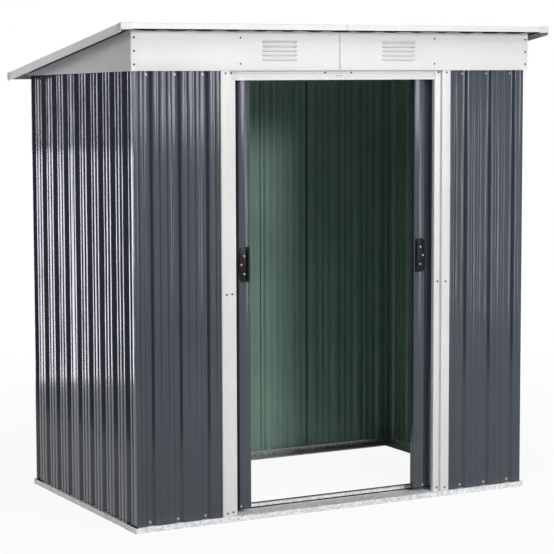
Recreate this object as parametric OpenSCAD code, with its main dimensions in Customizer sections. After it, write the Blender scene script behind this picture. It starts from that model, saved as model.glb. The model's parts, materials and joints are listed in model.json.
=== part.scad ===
// Pent-roof metal storage shed: ribbed steel walls, two sliding doors that share one opening,
// a galvanised base frame and a corrugated roof with fascia boards and edge trims.
// Millimetres. +Z is up, the doorway faces -Y, and the origin is on the ground at the middle.

/* [Walls] */
// Width over the ribbed walls
body_w = 1658; // [1380:2:2000]
// Depth over the ribbed walls
body_d = 976; // [800:2:1200]
// Height of the lower edge of the front fascia
eave_h = 1640; // [1360:1:1980]
// Distance from one groove to the next
rib_pitch = 110.5; // [92:0.5:133]
// Width of a groove at the face of the sheet
groove_w = 37; // [30:1:45]
// Width of the floor of a groove
groove_floor_w = 23; // [18:1:28]
// Depth of a groove
groove_depth = 11; // [9:0.5:14]
// Thickness of the wall and roof sheets
sheet_t = 1; // [0.8:0.1:1.2]

/* [Base frame] */
// Height of the base rails
rail_h = 20; // [16:1:24]
// Width of the side and back rails
rail_w = 80; // [66:1:96]
// Width of the front rail, which is the door sill
sill_w = 93.5; // [88:0.5:110]
// How far the rails stand out past the walls
rail_lip = 8; // [4:1:12]
// Thickness of the folded rails
rail_t = 1.2; // [1:0.1:1.5]
// Width of the foot of the side and back rails
foot_w = 12; // [10:1:16]
// Height of the upstand that the walls are bolted to
upstand_h = 20; // [18:1:26]
// Radius of an anchor hole
anchor_r = 3.5; // [2.5:0.5:5]
// Distance between the anchor holes along one side rail
anchor_span = 700; // [400:10:760]

/* [Doorway] */
// Clear width between the two jambs
opening_w = 849; // [700:1:1020]
// Width of the recessed inner face of a jamb
jamb_inner_w = 26.5; // [22:0.5:32]
// Width of the raised outer face of a jamb
jamb_outer_w = 38; // [32:1:46]
// How far the outer jamb face stands out past the walls
jamb_out = 7; // [5:0.5:9]
// How far the inner jamb face lies behind the wall face
jamb_in = 5; // [3:0.5:7]
// Depth of the return that lines the doorway
jamb_return = 19; // [15:1:21]
// Thickness of the jambs and the header
jamb_t = 1.2; // [1:0.1:1.5]
// Height of the visible face of the header
header_h = 34; // [28:1:40]

/* [Doors] */
// Distance from the wall face back to the door face
door_set = 33; // [31:1:38]
// Thickness of a door from its face to the back of its folds
door_depth = 22; // [20:1:24]
// Width of the flat stile at the leading edge
stile_w = 47; // [38:1:56]
// How far a closed door laps behind the jamb
door_lap = 33.5; // [24:0.5:40]
// Gap that is left between the two doors when they are closed
door_gap = 6; // [5.5:0.5:10]
// Gap below a door, above the sill
door_foot_gap = 16; // [13:1:19]
// Height of a handle
handle_h = 128; // [100:1:154]
// Width of a handle
handle_w = 43; // [36:1:52]
// Height of the middle of a handle above the ground
handle_z = 938; // [780:1:1118]

/* [Fascia] */
// Height of the front fascia
fascia_h = 144.7; // [120:0.1:174]
// How far the fascia stands out past the walls
fascia_out = 12; // [10:1:15]
// Height of a side fascia at the back
fascia_back_h = 7; // [6.5:0.5:9]
// Width of the flange that wraps round each front corner
corner_flange = 20; // [16:1:24]
// Width of a ventilation louvre
vent_w = 149; // [124:1:178]
// Distance from the middle of the front to the middle of a vent
vent_x = 252.5; // [210:0.5:303]
// Height of the lowest louvre above the lower edge of the fascia
vent_rise = 37.6; // [31:0.1:45]
// Distance from one louvre to the next
vent_pitch = 15.6; // [13:0.1:17]

/* [Roof] */
// How far the roof reaches past each side wall
side_overhang = 73.5; // [60:0.5:88]
// How far the roof reaches past the front and back walls
end_overhang = 65; // [54:1:78]
// How far the roof falls from its front edge to its back edge
roof_fall = 170; // [140:1:204]
// Height of the trim on the front edge
front_trim_h = 21; // [18:1:25]
// Height of the trims on the sloping side edges
side_trim_h = 32; // [28:1:38]
// Height of the trim on the back edge
back_trim_h = 25; // [20:1:30]
// Width of a corner cap seen from the front
cap_w = 42; // [35:1:50]
// Length of a corner cap seen from the side
cap_l = 30; // [25:1:36]

/* [Hidden] */

wall_colour = "#4a4e56";
trim_colour = "#e9e9e6";
rail_colour = "#b9bcbc";
handle_colour = "#151515";

// Small clearances
seat_gap = 0.3;        // between a sheet and what it lies on
joint_gap = 0.4;       // between the ends of two boards or sheets
stiffener_gap = 0.2;   // between a door sheet and the bars behind it
slide_gap = 1.5;       // between a door guide and its track
hanger_gap = 2.2;      // between a door hanger and the lips of its track
end_clear = 10;        // between an open door and the side wall
handle_clear = 24.5;   // between the handle of an open door and the jamb
past = 1;              // how far a cut runs past the face that it opens
bite = 1;              // how far two solids of one piece run into each other

// Walls
wall_x = body_w / 2;
wall_y = body_d / 2;
wall_depth = groove_depth + sheet_t;
inner_x = wall_x - wall_depth;
inner_y = wall_y - wall_depth;
groove_run = (groove_w - groove_floor_w) / 2;
groove_angle = atan(groove_depth / groove_run);
groove_shift = sheet_t * tan(groove_angle / 2);
edge_margin = 8;      // flat that is kept between a groove and the end of a sheet
most_grooves = 40;    // more than the widest sheet can hold
front_flat = 68;      // from the front corner to the first groove of a side wall
wall_lap = 5;         // how far the walls run up behind the fascia
// Where the two sheets of a side wall meet: the middle of a flat, near the middle of the wall
side_split = -wall_y + front_flat + (round((wall_y - front_flat) / rib_pitch) + 0.5) * rib_pitch;

// Jambs and header
jamb_x = opening_w / 2;
jamb_step_x = jamb_x + jamb_inner_w;
jamb_edge_x = jamb_step_x + jamb_outer_w;
jamb_lip = 10;        // fold at the back of the return
wall_under_jamb = 15; // from the step of a jamb to the end of the wall sheet behind it
header_groove_w = 15;
header_groove_d = 2;
header_groove_drop = 24;
header_groove_z = eave_h - header_groove_drop;
header_z = eave_h - header_h;

// Doors
track_lip_rise = 10;  // from the lower edge of the header to the lips of the track
door_head_gap = 5;    // from the top of a door to the lips of the track
door_y = -wall_y + door_set;
door_z0 = rail_h + door_foot_gap;
track_lip_z = header_z + track_lip_rise;
door_z1 = track_lip_z - door_head_gap;
door_w = jamb_x + door_lap - door_gap / 2;
handle_inset = 5;
handle_stop = handle_inset + handle_w + handle_clear;
lead_x = min(inner_x - end_clear - door_w, jamb_x - handle_stop);
trail_x = lead_x + door_w;
stiffener_y = door_y + wall_depth + stiffener_gap;
stiffener_t = 7.8;
stiffener_h = 30;
runner_l = 40;
runner_inset = 60;
// The two places along a door where it is carried and guided
runner_xs = [lead_x + runner_inset, trail_x - runner_inset - runner_l];
handle_plate_t = 3;
handle_corner_r = 12;
grip_w = 14;
grip_out = 10;

// Top track
track_t = 1.5;
track_top = eave_h + wall_lap;
track_front = -inner_y;
track_behind = 15.5;  // from the back of a hanger to the back of the track
track_back = stiffener_y + stiffener_t + track_behind;
runner_h = 14;
runner_side = 10;

// Sill and bottom track
sill_y0 = -wall_y - rail_lip;
sill_y1 = sill_y0 + sill_w;
slot_w = 6;
track_w = 20;
track_h = 36;
track_y0 = sill_y1 + slot_w;
tongue_t = slot_w - 2 * slide_gap;
tongue_h = 28;        // how far a tongue reaches below the door
arm_h = 8;
anchor_x = (inner_x - rail_t + wall_x + rail_lip - rail_w) / 2;

// Roof: heights along the slope
roof_w = body_w + 2 * side_overhang;
roof_d = body_d + 2 * end_overhang;
slope = roof_fall / roof_d;
slope_angle = atan(slope);
cap_t = 1;
cap_gap = 0.2;
trim_t = 1.2;
trim_flange = 30;
stack = (cap_t + cap_gap + trim_t + seat_gap) * cos(slope_angle);
under_v = (stack + groove_depth + sheet_t) / cos(slope_angle);
fascia_y = -wall_y - fascia_out;
fascia_x = wall_x + fascia_out;
fascia_t = 1;
fascia_top = eave_h + fascia_h;
roof_front_top = fascia_top + seat_gap + under_v + (fascia_y + roof_d / 2) * slope;
sheet_end = 8;        // from the edge of the roof to the end of a roof sheet
roof_edge_in = 4;     // from the side of the roof to the side of a roof sheet
roof_ribs_a_sheet = 5;
roof_split = roof_ribs_a_sheet / 2 * rib_pitch;
front_cap_past = 4;   // how far a cap reaches below the trim beside it
back_cap_past = 1;
trim_x = roof_w / 2 - cap_t - cap_gap;
trim_y = roof_d / 2 - cap_t - cap_gap;

function roof_top(y) = roof_front_top - (y + roof_d / 2) * slope;
function trim_top(y) = roof_top(y) - cap_t - cap_gap;
function seat(y) = roof_top(y) - under_v - seat_gap;
back_wall_top = seat(wall_y);
fascia_back_z = back_wall_top - fascia_back_h;
function fascia_low(y) = eave_h + (y - fascia_y) * (fascia_back_z - eave_h) / (wall_y - fascia_y);

// Front fascia
vent_count = 5;
vent_slot_h = 3.5;
vent_end = 5;         // from the end of a slot to the end of its louvre
fascia_fold = 24;     // flange of the front fascia under the roof
fascia_end = 12;      // flange where the two halves of the front fascia meet
fascia_end_y = fascia_y + fascia_end;

// Top frame
top_leg = 30;
top_flange = 30;
top_rail_drop = 2;    // from the top of the back wall to its rail
beam_depth = 40;
beam_w = 25;
beam_t = 1.5;

// Extrudes an outline of (y, z) points from x0 to x1
module along_x(x0, x1) {
    translate([x0, 0, 0]) rotate([90, 0, 90]) linear_extrude(x1 - x0) children();
}

// Mirrors a right-hand piece to the left when side is -1
module on_side(side) {
    if (side < 0) mirror([1, 0, 0]) children();
    else children();
}

// A box from its lowest to its highest corner
module block(low, high) {
    translate(low) cube(high - low);
}

// Outline of a sheet with grooves at the given centres, outside at y = 0
function groove_outside(c) = [[c - groove_w / 2, 0], [c - groove_floor_w / 2, groove_depth],
                              [c + groove_floor_w / 2, groove_depth], [c + groove_w / 2, 0]];
function groove_inside(c) = [[c + groove_w / 2 + groove_shift, sheet_t],
                             [c + groove_floor_w / 2 + groove_shift, wall_depth],
                             [c - groove_floor_w / 2 - groove_shift, wall_depth],
                             [c - groove_w / 2 - groove_shift, sheet_t]];
function reversed(list) = [for (i = [len(list) - 1 : -1 : 0]) list[i]];
function sheet_outline(x0, x1, centres) = concat(
    [[x0, 0]],
    [for (c = centres) each groove_outside(c)],
    [[x1, 0], [x1, sheet_t]],
    [for (c = reversed(centres)) each groove_inside(c)],
    [[x0, sheet_t]]);

// Groove centres that are multiples of the pitch and fit between two limits
function grooves_between(x0, x1) =
    [for (k = [-most_grooves : most_grooves]) let (c = k * rib_pitch)
        if (c - groove_w / 2 > x0 + edge_margin && c + groove_w / 2 < x1 - edge_margin) c];

// Groove centres of a side wall, counted from its front corner
function side_grooves(y0, y1) =
    [for (k = [0 : most_grooves]) let (c = -wall_y + front_flat + k * rib_pitch)
        if (c > y0 && c < y1 && c + groove_floor_w / 2 < wall_y - wall_depth) c];

// ---- Base frame ----

// Open C of a rail: outer web, top flange and foot, in (y, z) with the web at y = 0
module rail_section(width, foot) {
    square([rail_t, rail_h]);
    square([foot, rail_t]);
    translate([0, rail_h - rail_t]) square([width, rail_t]);
}

module upstand(x0, x1, y) {
    block([x0, y, rail_h - rail_t / 2], [x1, y + rail_t, rail_h + upstand_h]);
}

module base_rail_front() {
    color(rail_colour) {
        along_x(-wall_x - rail_lip, wall_x + rail_lip) translate([sill_y0, 0]) rail_section(sill_w, sill_w);
        // the foot runs on under the guide slot to meet the track
        block([-wall_x - rail_lip + rail_w, sill_y1 - rail_t, 0],
              [wall_x + rail_lip - rail_w, track_y0, rail_t]);
        upstand(-inner_x, -jamb_step_x - wall_under_jamb, -inner_y);
        upstand(jamb_step_x + wall_under_jamb, inner_x, -inner_y);
    }
}

module base_rail_back() {
    color(rail_colour) {
        along_x(-wall_x - rail_lip, wall_x + rail_lip)
            translate([wall_y + rail_lip, 0]) mirror([1, 0]) rail_section(rail_w, foot_w);
        upstand(-inner_x, inner_x, inner_y - rail_t);
    }
}

module base_rail_side(side) {
    y0 = sill_y1;
    y1 = wall_y + rail_lip - rail_w;
    color(rail_colour) on_side(side) difference() {
        union() {
            translate([wall_x + rail_lip, y0, 0]) rotate([90, 0, 180])
                linear_extrude(y1 - y0) rail_section(rail_w, foot_w);
            block([inner_x - rail_t, y0, rail_h - rail_t / 2], [inner_x, y1, rail_h + upstand_h]);
        }
        for (y = [-anchor_span / 2, anchor_span / 2])
            translate([anchor_x, y, -past])
                cylinder(r = anchor_r, h = rail_h + 2 * past, $fn = 32);
    }
}

// Raised rail that keeps the feet of the doors in line
module door_track_bottom() {
    end_x = wall_x + rail_lip - rail_w;
    color(rail_colour) difference() {
        block([-end_x, track_y0, 0], [end_x, track_y0 + track_w, track_h]);
        block([-end_x - past, track_y0 + rail_t, -past],
              [end_x + past, track_y0 + track_w - rail_t, track_h - rail_t]);
    }
}

// ---- Walls ----

module front_wall(side) {
    x0 = jamb_step_x + wall_under_jamb;
    x1 = wall_x - sheet_t;
    height = eave_h + wall_lap - rail_h;
    centres = grooves_between(jamb_edge_x, wall_x);
    color(wall_colour) on_side(side) translate([0, -wall_y, rail_h])
        linear_extrude(height) polygon(sheet_outline(x0, x1, centres));
}

module back_wall(x0, x1) {
    centres = grooves_between(x0 - edge_margin, x1 + edge_margin);
    color(wall_colour) translate([0, wall_y, rail_h]) linear_extrude(back_wall_top - rail_h)
        mirror([0, 1]) polygon(sheet_outline(x0, x1, centres));
}

module side_wall(side, y0, y1) {
    tall = eave_h + 2 * wall_lap - rail_h;
    cut_y = wall_y + past;
    cut_z = rail_h + tall + past;
    color(wall_colour) on_side(side) difference() {
        translate([wall_x, 0, rail_h]) linear_extrude(tall) rotate(90)
            polygon(sheet_outline(y0, y1, side_grooves(y0, y1)));
        along_x(inner_x - past, wall_x + past) polygon([
            [-cut_y, fascia_low(-cut_y) + wall_lap], [cut_y, fascia_low(cut_y) + wall_lap],
            [cut_y, cut_z], [-cut_y, cut_z]]);
    }
}

// ---- Door frame ----

module door_jamb(side) {
    front = -wall_y - jamb_out;
    recess = -wall_y + jamb_in;
    back = recess + jamb_return;
    t = jamb_t;
    color(trim_colour) on_side(side) translate([0, 0, rail_h]) {
        // the two faces run up to the fascia
        linear_extrude(eave_h - rail_h) polygon([
            [jamb_edge_x, -wall_y], [jamb_edge_x, front], [jamb_step_x, front],
            [jamb_step_x, recess], [jamb_x, recess], [jamb_x, recess + t],
            [jamb_step_x + t, recess + t], [jamb_step_x + t, front + t],
            [jamb_edge_x - t, front + t], [jamb_edge_x - t, -wall_y]]);
        // the return stops below the top track
        linear_extrude(header_z - rail_h - joint_gap) polygon([
            [jamb_x, recess], [jamb_x, back], [jamb_x + jamb_lip, back],
            [jamb_x + jamb_lip, back - t], [jamb_x + t, back - t], [jamb_x + t, recess]]);
    }
}

module door_header() {
    face = -wall_y + jamb_in;
    end_x = jamb_x - joint_gap;
    t = jamb_t;
    z0 = header_groove_z;
    z1 = header_groove_z + header_groove_w;
    d = header_groove_d;
    color(trim_colour) along_x(-end_x, end_x) polygon([
        [track_front, header_z], [face, header_z],
        [face, z0], [face + d, z0 + d], [face + d, z1 - d], [face, z1],
        [face, track_top], [track_front, track_top], [track_front, track_top - t],
        [face + t, track_top - t], [face + t, z1 + d / 2], [face + t + d, z1 - d / 2],
        [face + t + d, z0 + d / 2], [face + t, z0 - d / 2], [face + t, header_z + t],
        [track_front, header_z + t]]);
}

// Open channel that the doors hang in: the hangers pass through the slot between its lips
module door_track_top() {
    slot_y0 = stiffener_y - hanger_gap;
    slot_y1 = stiffener_y + stiffener_t + hanger_gap;
    t = track_t;
    color(trim_colour) along_x(-inner_x, inner_x) polygon([
        [track_front, header_z], [track_front, track_top], [track_back, track_top],
        [track_back, track_lip_z], [slot_y1, track_lip_z], [slot_y1, track_lip_z + t],
        [track_back - t, track_lip_z + t], [track_back - t, track_top - t],
        [track_front + t, track_top - t], [track_front + t, track_lip_z + t],
        [slot_y0, track_lip_z + t], [slot_y0, track_lip_z],
        [track_front + t, track_lip_z], [track_front + t, header_z]]);
}

// ---- Top frame ----

module top_rail_back() {
    z1 = back_wall_top - top_rail_drop;
    color(rail_colour) along_x(-inner_x, inner_x) polygon([
        [inner_y, z1], [inner_y, z1 - top_leg], [inner_y - top_flange, z1 - top_leg],
        [inner_y - top_flange, z1 - top_leg + rail_t], [inner_y - rail_t, z1 - top_leg + rail_t],
        [inner_y - rail_t, z1]]);
}

module top_rail_side(side) {
    y0 = track_back + seat_gap;
    y1 = inner_y - top_flange - seat_gap;
    color(rail_colour) on_side(side) {
        along_x(inner_x - rail_t, inner_x) polygon([
            [y0, fascia_low(y0) - top_leg], [y1, fascia_low(y1) - top_leg],
            [y1, fascia_low(y1)], [y0, fascia_low(y0)]]);
        along_x(inner_x - top_flange, inner_x - rail_t / 2) polygon([
            [y0, fascia_low(y0) - top_leg], [y1, fascia_low(y1) - top_leg],
            [y1, fascia_low(y1) - top_leg + rail_t], [y0, fascia_low(y0) - top_leg + rail_t]]);
    }
}

// Channel across the middle of the roof, open towards the back
module roof_beam() {
    t = beam_t;
    end_x = fascia_x - corner_flange - joint_gap;
    color(rail_colour) translate([0, -beam_w / 2, seat(-beam_w / 2)]) rotate([-slope_angle, 0, 0])
        along_x(-end_x, end_x) polygon([
            [0, 0], [beam_w, 0], [beam_w, -t], [t, -t], [t, t - beam_depth],
            [beam_w, t - beam_depth], [beam_w, -beam_depth], [0, -beam_depth]]);
}

// ---- Fascia ----

module louvre_slots() {
    half_w = vent_w / 2 - vent_end;
    for (i = [0 : vent_count - 1]) {
        z = eave_h + vent_rise + i * vent_pitch;
        block([vent_x - half_w, fascia_y - past, z],
              [vent_x + half_w, fascia_y + fascia_t + past, z + vent_slot_h]);
    }
}

module front_fascia(side) {
    x0 = joint_gap / 2;
    x1 = fascia_x - corner_flange - joint_gap;
    y1 = fascia_y + fascia_fold;
    t = fascia_t;
    color(trim_colour) on_side(side) difference() {
        union() {
            along_x(x0, x1) polygon([
                [-wall_y, eave_h], [fascia_y, eave_h], [fascia_y, seat(fascia_y)], [y1, seat(y1)],
                [y1, seat(y1) - t], [fascia_y + t, seat(fascia_y + t) - t],
                [fascia_y + t, eave_h + t], [-wall_y, eave_h + t]]);
            along_x(x0, x0 + t) polygon([
                [fascia_y, eave_h], [fascia_y, fascia_top - t / 2],
                [fascia_end_y, seat(fascia_end_y) - t / 2], [fascia_end_y, eave_h]]);
        }
        louvre_slots();
    }
}

module side_fascia(side) {
    y1 = wall_y;
    flange_y1 = inner_y - joint_gap;
    t = fascia_t;
    color(trim_colour) on_side(side) {
        along_x(fascia_x - t, fascia_x) polygon([
            [fascia_y, fascia_low(fascia_y)], [fascia_y, seat(fascia_y)],
            [y1, seat(y1)], [y1, fascia_low(y1)]]);
        along_x(fascia_x - corner_flange, fascia_x - t / 2) polygon([
            [fascia_y, seat(fascia_y)], [flange_y1, seat(flange_y1)],
            [flange_y1, seat(flange_y1) - t], [fascia_y, seat(fascia_y) - t]]);
        along_x(wall_x, fascia_x - t / 2) polygon([
            [fascia_y, fascia_low(fascia_y)], [y1, fascia_low(y1)], [y1, fascia_low(y1) + t],
            [fascia_y, fascia_low(fascia_y) + t]]);
        block([fascia_x - corner_flange, fascia_y, eave_h + t / 2],
              [fascia_x - t / 2, fascia_y + t, fascia_top - t / 2]);
    }
}

// ---- Roof ----

// Ribbed roof sheet: the flats lie low and the ribs stand up
module roof_sheet(x0, x1) {
    length = roof_d / cos(slope_angle) - 2 * sheet_end;
    ribs = grooves_between(x0, x1);
    color(wall_colour) translate([0, -roof_d / 2, roof_front_top]) rotate([-slope_angle, 0, 0])
        translate([0, sheet_end + length, -stack - groove_depth - sheet_t]) rotate([90, 0, 0])
            linear_extrude(length) polygon(sheet_outline(x0, x1, ribs));
}

// Trim on a level edge: an angle with its flange on the roof, in (y, z)
module level_trim(edge_y, height, x0, x1) {
    inward = edge_y < 0 ? 1 : -1;
    y1 = edge_y + inward * trim_flange;
    yt = edge_y + inward * trim_t;
    color(trim_colour) along_x(x0, x1) polygon([
        [edge_y, trim_top(edge_y) - height], [edge_y, trim_top(edge_y)], [y1, trim_top(y1)],
        [y1, trim_top(y1) - trim_t], [yt, trim_top(yt) - trim_t], [yt, trim_top(edge_y) - height]]);
}

// Trim on a sloping side edge
module side_trim(side) {
    y0 = -trim_y + trim_t + joint_gap;
    y1 = trim_y - trim_t - joint_gap;
    color(trim_colour) on_side(side) {
        along_x(trim_x - trim_t, trim_x) polygon([
            [y0, trim_top(y0) - side_trim_h], [y0, trim_top(y0)],
            [y1, trim_top(y1)], [y1, trim_top(y1) - side_trim_h]]);
        along_x(trim_x - trim_flange, trim_x - trim_t / 2) polygon([
            [y0, trim_top(y0) - trim_t], [y0, trim_top(y0)],
            [y1, trim_top(y1)], [y1, trim_top(y1) - trim_t]]);
    }
}

// Cap over a corner of the roof: a shell with a top, an outer side and an end
module corner_cap(side, fore, height) {
    edge = fore * roof_d / 2;
    y1 = edge - fore * cap_l;
    ye = edge - fore * cap_t;
    yp = y1 - fore * past;
    drop = height + 2 * past;
    color(trim_colour) on_side(side) difference() {
        along_x(roof_w / 2 - cap_w, roof_w / 2) polygon([
            [edge, roof_top(edge) - height], [edge, roof_top(edge)],
            [y1, roof_top(y1)], [y1, roof_top(y1) - height]]);
        along_x(roof_w / 2 - cap_w - past, roof_w / 2 - cap_t) polygon([
            [ye, roof_top(ye) - drop], [ye, roof_top(ye) - cap_t],
            [yp, roof_top(yp) - cap_t], [yp, roof_top(yp) - drop]]);
    }
}

// ---- Doors: each is drawn open, on the right-hand side ----

module door_panel(side) {
    t = sheet_t;
    first = lead_x + stile_w + groove_w / 2;
    last = trail_x - groove_w / 2 - edge_margin;
    centres = [for (c = [first : rib_pitch : last]) c];
    outline = concat(
        [[lead_x, door_depth], [lead_x, 0]],
        [for (c = centres) each groove_outside(c)],
        [[trail_x, 0], [trail_x, door_depth], [trail_x - t, door_depth], [trail_x - t, t]],
        [for (c = reversed(centres)) each groove_inside(c)],
        [[lead_x + t, t], [lead_x + t, door_depth]]);
    color(wall_colour) on_side(side) translate([0, door_y, door_z0])
        linear_extrude(door_z1 - door_z0) polygon(outline);
}

module door_hanger(side) {
    y0 = stiffener_y;
    y1 = stiffener_y + stiffener_t;
    block_z = track_lip_z + track_t + seat_gap;
    color(rail_colour) on_side(side) {
        block([lead_x + sheet_t, y0, door_z1 - stiffener_h], [trail_x - sheet_t, y1, door_z1]);
        for (x = runner_xs) {
            block([x, y0, door_z1 - bite], [x + runner_l, y1, block_z + bite]);
            block([x, y0 - runner_side, block_z],
                  [x + runner_l, y1 + runner_side, block_z + runner_h]);
        }
    }
}

module door_guide(side) {
    y0 = stiffener_y;
    tongue_y0 = sill_y1 + slide_gap;
    tongue_y1 = tongue_y0 + tongue_t;
    color(rail_colour) on_side(side) {
        block([lead_x + sheet_t, y0, door_z0],
              [trail_x - sheet_t, y0 + stiffener_t, door_z0 + stiffener_h]);
        for (x = runner_xs) {
            block([x, y0 + bite, door_z0], [x + runner_l, tongue_y1, door_z0 + arm_h]);
            block([x, tongue_y0, door_z0 - tongue_h], [x + runner_l, tongue_y1, door_z0 + bite]);
        }
    }
}

// Plate with a raised grip along the edge that leads
module door_handle(side) {
    r = handle_corner_r;
    x0 = lead_x + handle_inset;
    z0 = handle_z - handle_h / 2;
    color(handle_colour) on_side(side) translate([x0, door_y, z0]) {
        rotate([90, 0, 0]) linear_extrude(handle_plate_t) {
            translate([0, r]) square([handle_w, handle_h - 2 * r]);
            square([handle_w - r, handle_h]);
            for (z = [r, handle_h - r]) translate([handle_w - r, z]) circle(r, $fn = 32);
        }
        along_x(0, grip_w) {
            translate([-grip_out, grip_out]) square([grip_out, handle_h - 2 * grip_out]);
            for (z = [grip_out, handle_h - grip_out])
                intersection() {
                    translate([0, z]) circle(grip_out, $fn = 48);
                    translate([-grip_out, 0]) square([grip_out, handle_h]);
                }
        }
    }
}

base_rail_front();
base_rail_back();
base_rail_side(-1);  // base_rail_left
base_rail_side(1);  // base_rail_right
door_track_bottom();
front_wall(-1);  // front_wall_left
front_wall(1);  // front_wall_right
side_wall(-1, -wall_y, side_split);  // left_wall_front_sheet
side_wall(-1, side_split, wall_y);  // left_wall_back_sheet
side_wall(1, -wall_y, side_split);  // right_wall_front_sheet
side_wall(1, side_split, wall_y);  // right_wall_back_sheet
back_wall(-wall_x + sheet_t, -rib_pitch / 2);  // back_wall_left_sheet
back_wall(-rib_pitch / 2, wall_x - sheet_t);  // back_wall_right_sheet
door_jamb(-1);  // door_jamb_left
door_jamb(1);  // door_jamb_right
door_header();
door_track_top();
top_rail_back();
top_rail_side(-1);  // top_rail_left
top_rail_side(1);  // top_rail_right
roof_beam();
front_fascia(-1);  // front_fascia_left
front_fascia(1);  // front_fascia_right
side_fascia(-1);  // side_fascia_left
side_fascia(1);  // side_fascia_right
roof_sheet(-roof_w / 2 + roof_edge_in, -roof_split - joint_gap);  // roof_sheet_left
roof_sheet(-roof_split, roof_split);  // roof_sheet_middle
roof_sheet(roof_split + joint_gap, roof_w / 2 - roof_edge_in);  // roof_sheet_right
level_trim(-trim_y, front_trim_h, -trim_x + trim_flange + joint_gap, -joint_gap / 2);  // roof_trim_front_left
level_trim(-trim_y, front_trim_h, joint_gap / 2, trim_x - trim_flange - joint_gap);  // roof_trim_front_right
level_trim(trim_y, back_trim_h, -trim_x + trim_flange + joint_gap, trim_x - trim_flange - joint_gap);  // roof_trim_back
side_trim(-1);  // roof_trim_left
side_trim(1);  // roof_trim_right
corner_cap(-1, -1, front_trim_h + front_cap_past);  // roof_cap_front_left
corner_cap(1, -1, front_trim_h + front_cap_past);  // roof_cap_front_right
corner_cap(-1, 1, back_trim_h + back_cap_past);  // roof_cap_back_left
corner_cap(1, 1, back_trim_h + back_cap_past);  // roof_cap_back_right
door_panel(-1);  // left_door_panel
door_hanger(-1);  // left_door_hanger
door_guide(-1);  // left_door_guide
door_handle(-1);  // left_door_handle
door_panel(1);  // right_door_panel
door_hanger(1);  // right_door_hanger
door_guide(1);  // right_door_guide
door_handle(1);  // right_door_handle
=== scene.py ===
import json
import math

import bpy
from mathutils import Matrix, Vector


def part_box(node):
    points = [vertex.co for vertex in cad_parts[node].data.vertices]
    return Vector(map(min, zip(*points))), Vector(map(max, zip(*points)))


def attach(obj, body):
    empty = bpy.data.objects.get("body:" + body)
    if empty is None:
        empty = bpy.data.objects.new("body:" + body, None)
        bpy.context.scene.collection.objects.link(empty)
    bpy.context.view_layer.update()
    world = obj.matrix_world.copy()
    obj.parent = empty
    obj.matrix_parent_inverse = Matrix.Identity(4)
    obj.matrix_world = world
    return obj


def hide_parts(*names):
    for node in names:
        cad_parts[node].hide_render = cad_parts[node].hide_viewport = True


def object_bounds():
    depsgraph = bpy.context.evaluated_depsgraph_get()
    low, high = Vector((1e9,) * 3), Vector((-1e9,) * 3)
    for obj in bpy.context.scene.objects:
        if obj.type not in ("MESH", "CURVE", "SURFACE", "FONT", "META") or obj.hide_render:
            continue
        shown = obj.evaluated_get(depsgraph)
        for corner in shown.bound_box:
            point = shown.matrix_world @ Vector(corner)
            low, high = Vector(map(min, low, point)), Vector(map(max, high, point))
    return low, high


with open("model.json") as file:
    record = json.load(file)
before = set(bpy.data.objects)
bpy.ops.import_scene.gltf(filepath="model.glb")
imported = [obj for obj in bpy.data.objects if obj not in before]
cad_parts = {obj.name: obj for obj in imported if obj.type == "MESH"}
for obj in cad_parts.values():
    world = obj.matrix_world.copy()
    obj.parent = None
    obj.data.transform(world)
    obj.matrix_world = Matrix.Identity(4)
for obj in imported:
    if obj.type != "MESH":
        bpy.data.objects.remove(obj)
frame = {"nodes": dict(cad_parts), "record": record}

MM = 0.001
SIDES = ((-1, "left"), (1, "right"))
cad_low, cad_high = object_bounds()

# Rolled wall and roof sheet: each flat between two grooves carries two shallow channels
PITCH = 110.5 * MM
GROOVE_W = 37 * MM
GROOVE_FLOOR = 23 * MM
GROOVE_DEPTH = 11 * MM
CHANNEL_W = 13 * MM
CHANNEL_SLOPE = 2.5 * MM
CHANNEL_DEPTH = 2 * MM
CHANNEL_IN = 15.5 * MM        # flat between a groove and the next channel
SHEET_T = 1 * MM
SHEET_BEND = 2.4 * MM
SHEET_ROWS = 24
FRONT_FLAT = 68 * MM          # from the front corner to the first groove of a side wall
WALL_WAVE = 0.5 * MM
WELD = 0.05 * MM              # points closer than this are one
END_FLAT = 14 * MM            # a channel within this of a sheet's end isn't rolled

# Folded trims and rails
TRIM_T = 1.2 * MM
TRIM_BEND = 2.2 * MM
ROOF_FALL = 170 * MM
EAVE_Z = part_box("front_fascia_left")[0].z
WALL_FRONT_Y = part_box("front_wall_left")[0].y
WALL_BACK_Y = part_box("back_wall_left_sheet")[1].y
WALL_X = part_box("right_wall_front_sheet")[1].x
SLOPE = ROOF_FALL / (cad_high.y - cad_low.y)


def roof_top(y):
    """Height of the top of the corner caps, which the roof follows."""
    return cad_high.z - (y - cad_low.y) * SLOPE


# ---- Node helpers ----

def link_or_set(tree, socket, value):
    if isinstance(value, bpy.types.NodeSocket):
        tree.links.new(value, socket)
    elif value is not None:
        socket.default_value = value


def set_inputs(tree, made, inputs):
    """inputs maps an input's name or number to a socket or a value."""
    for key, value in inputs.items():
        link_or_set(tree, made.inputs[key], value)


def node(tree, kind, inputs=None, **settings):
    made = tree.nodes.new(kind)
    for name, value in settings.items():
        setattr(made, name, value)
    set_inputs(tree, made, inputs or {})
    return made


def wire(tree, kind, inputs=None, **settings):
    """Adds a node and gives its first output."""
    return node(tree, kind, inputs, **settings).outputs[0]


def xyz(tree, **axes):
    return wire(tree, "ShaderNodeCombineXYZ", axes)


def maths(tree, operation, *values):
    return wire(tree, "ShaderNodeMath", dict(enumerate(values)), operation=operation)


def times(tree, a, b):
    return maths(tree, "MULTIPLY", a, b)


# ---- Materials ----

def new_material(name):
    material = bpy.data.materials.new(name)
    material.use_nodes = True
    tree = material.node_tree
    return material, tree, tree.nodes["Principled BSDF"]


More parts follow.
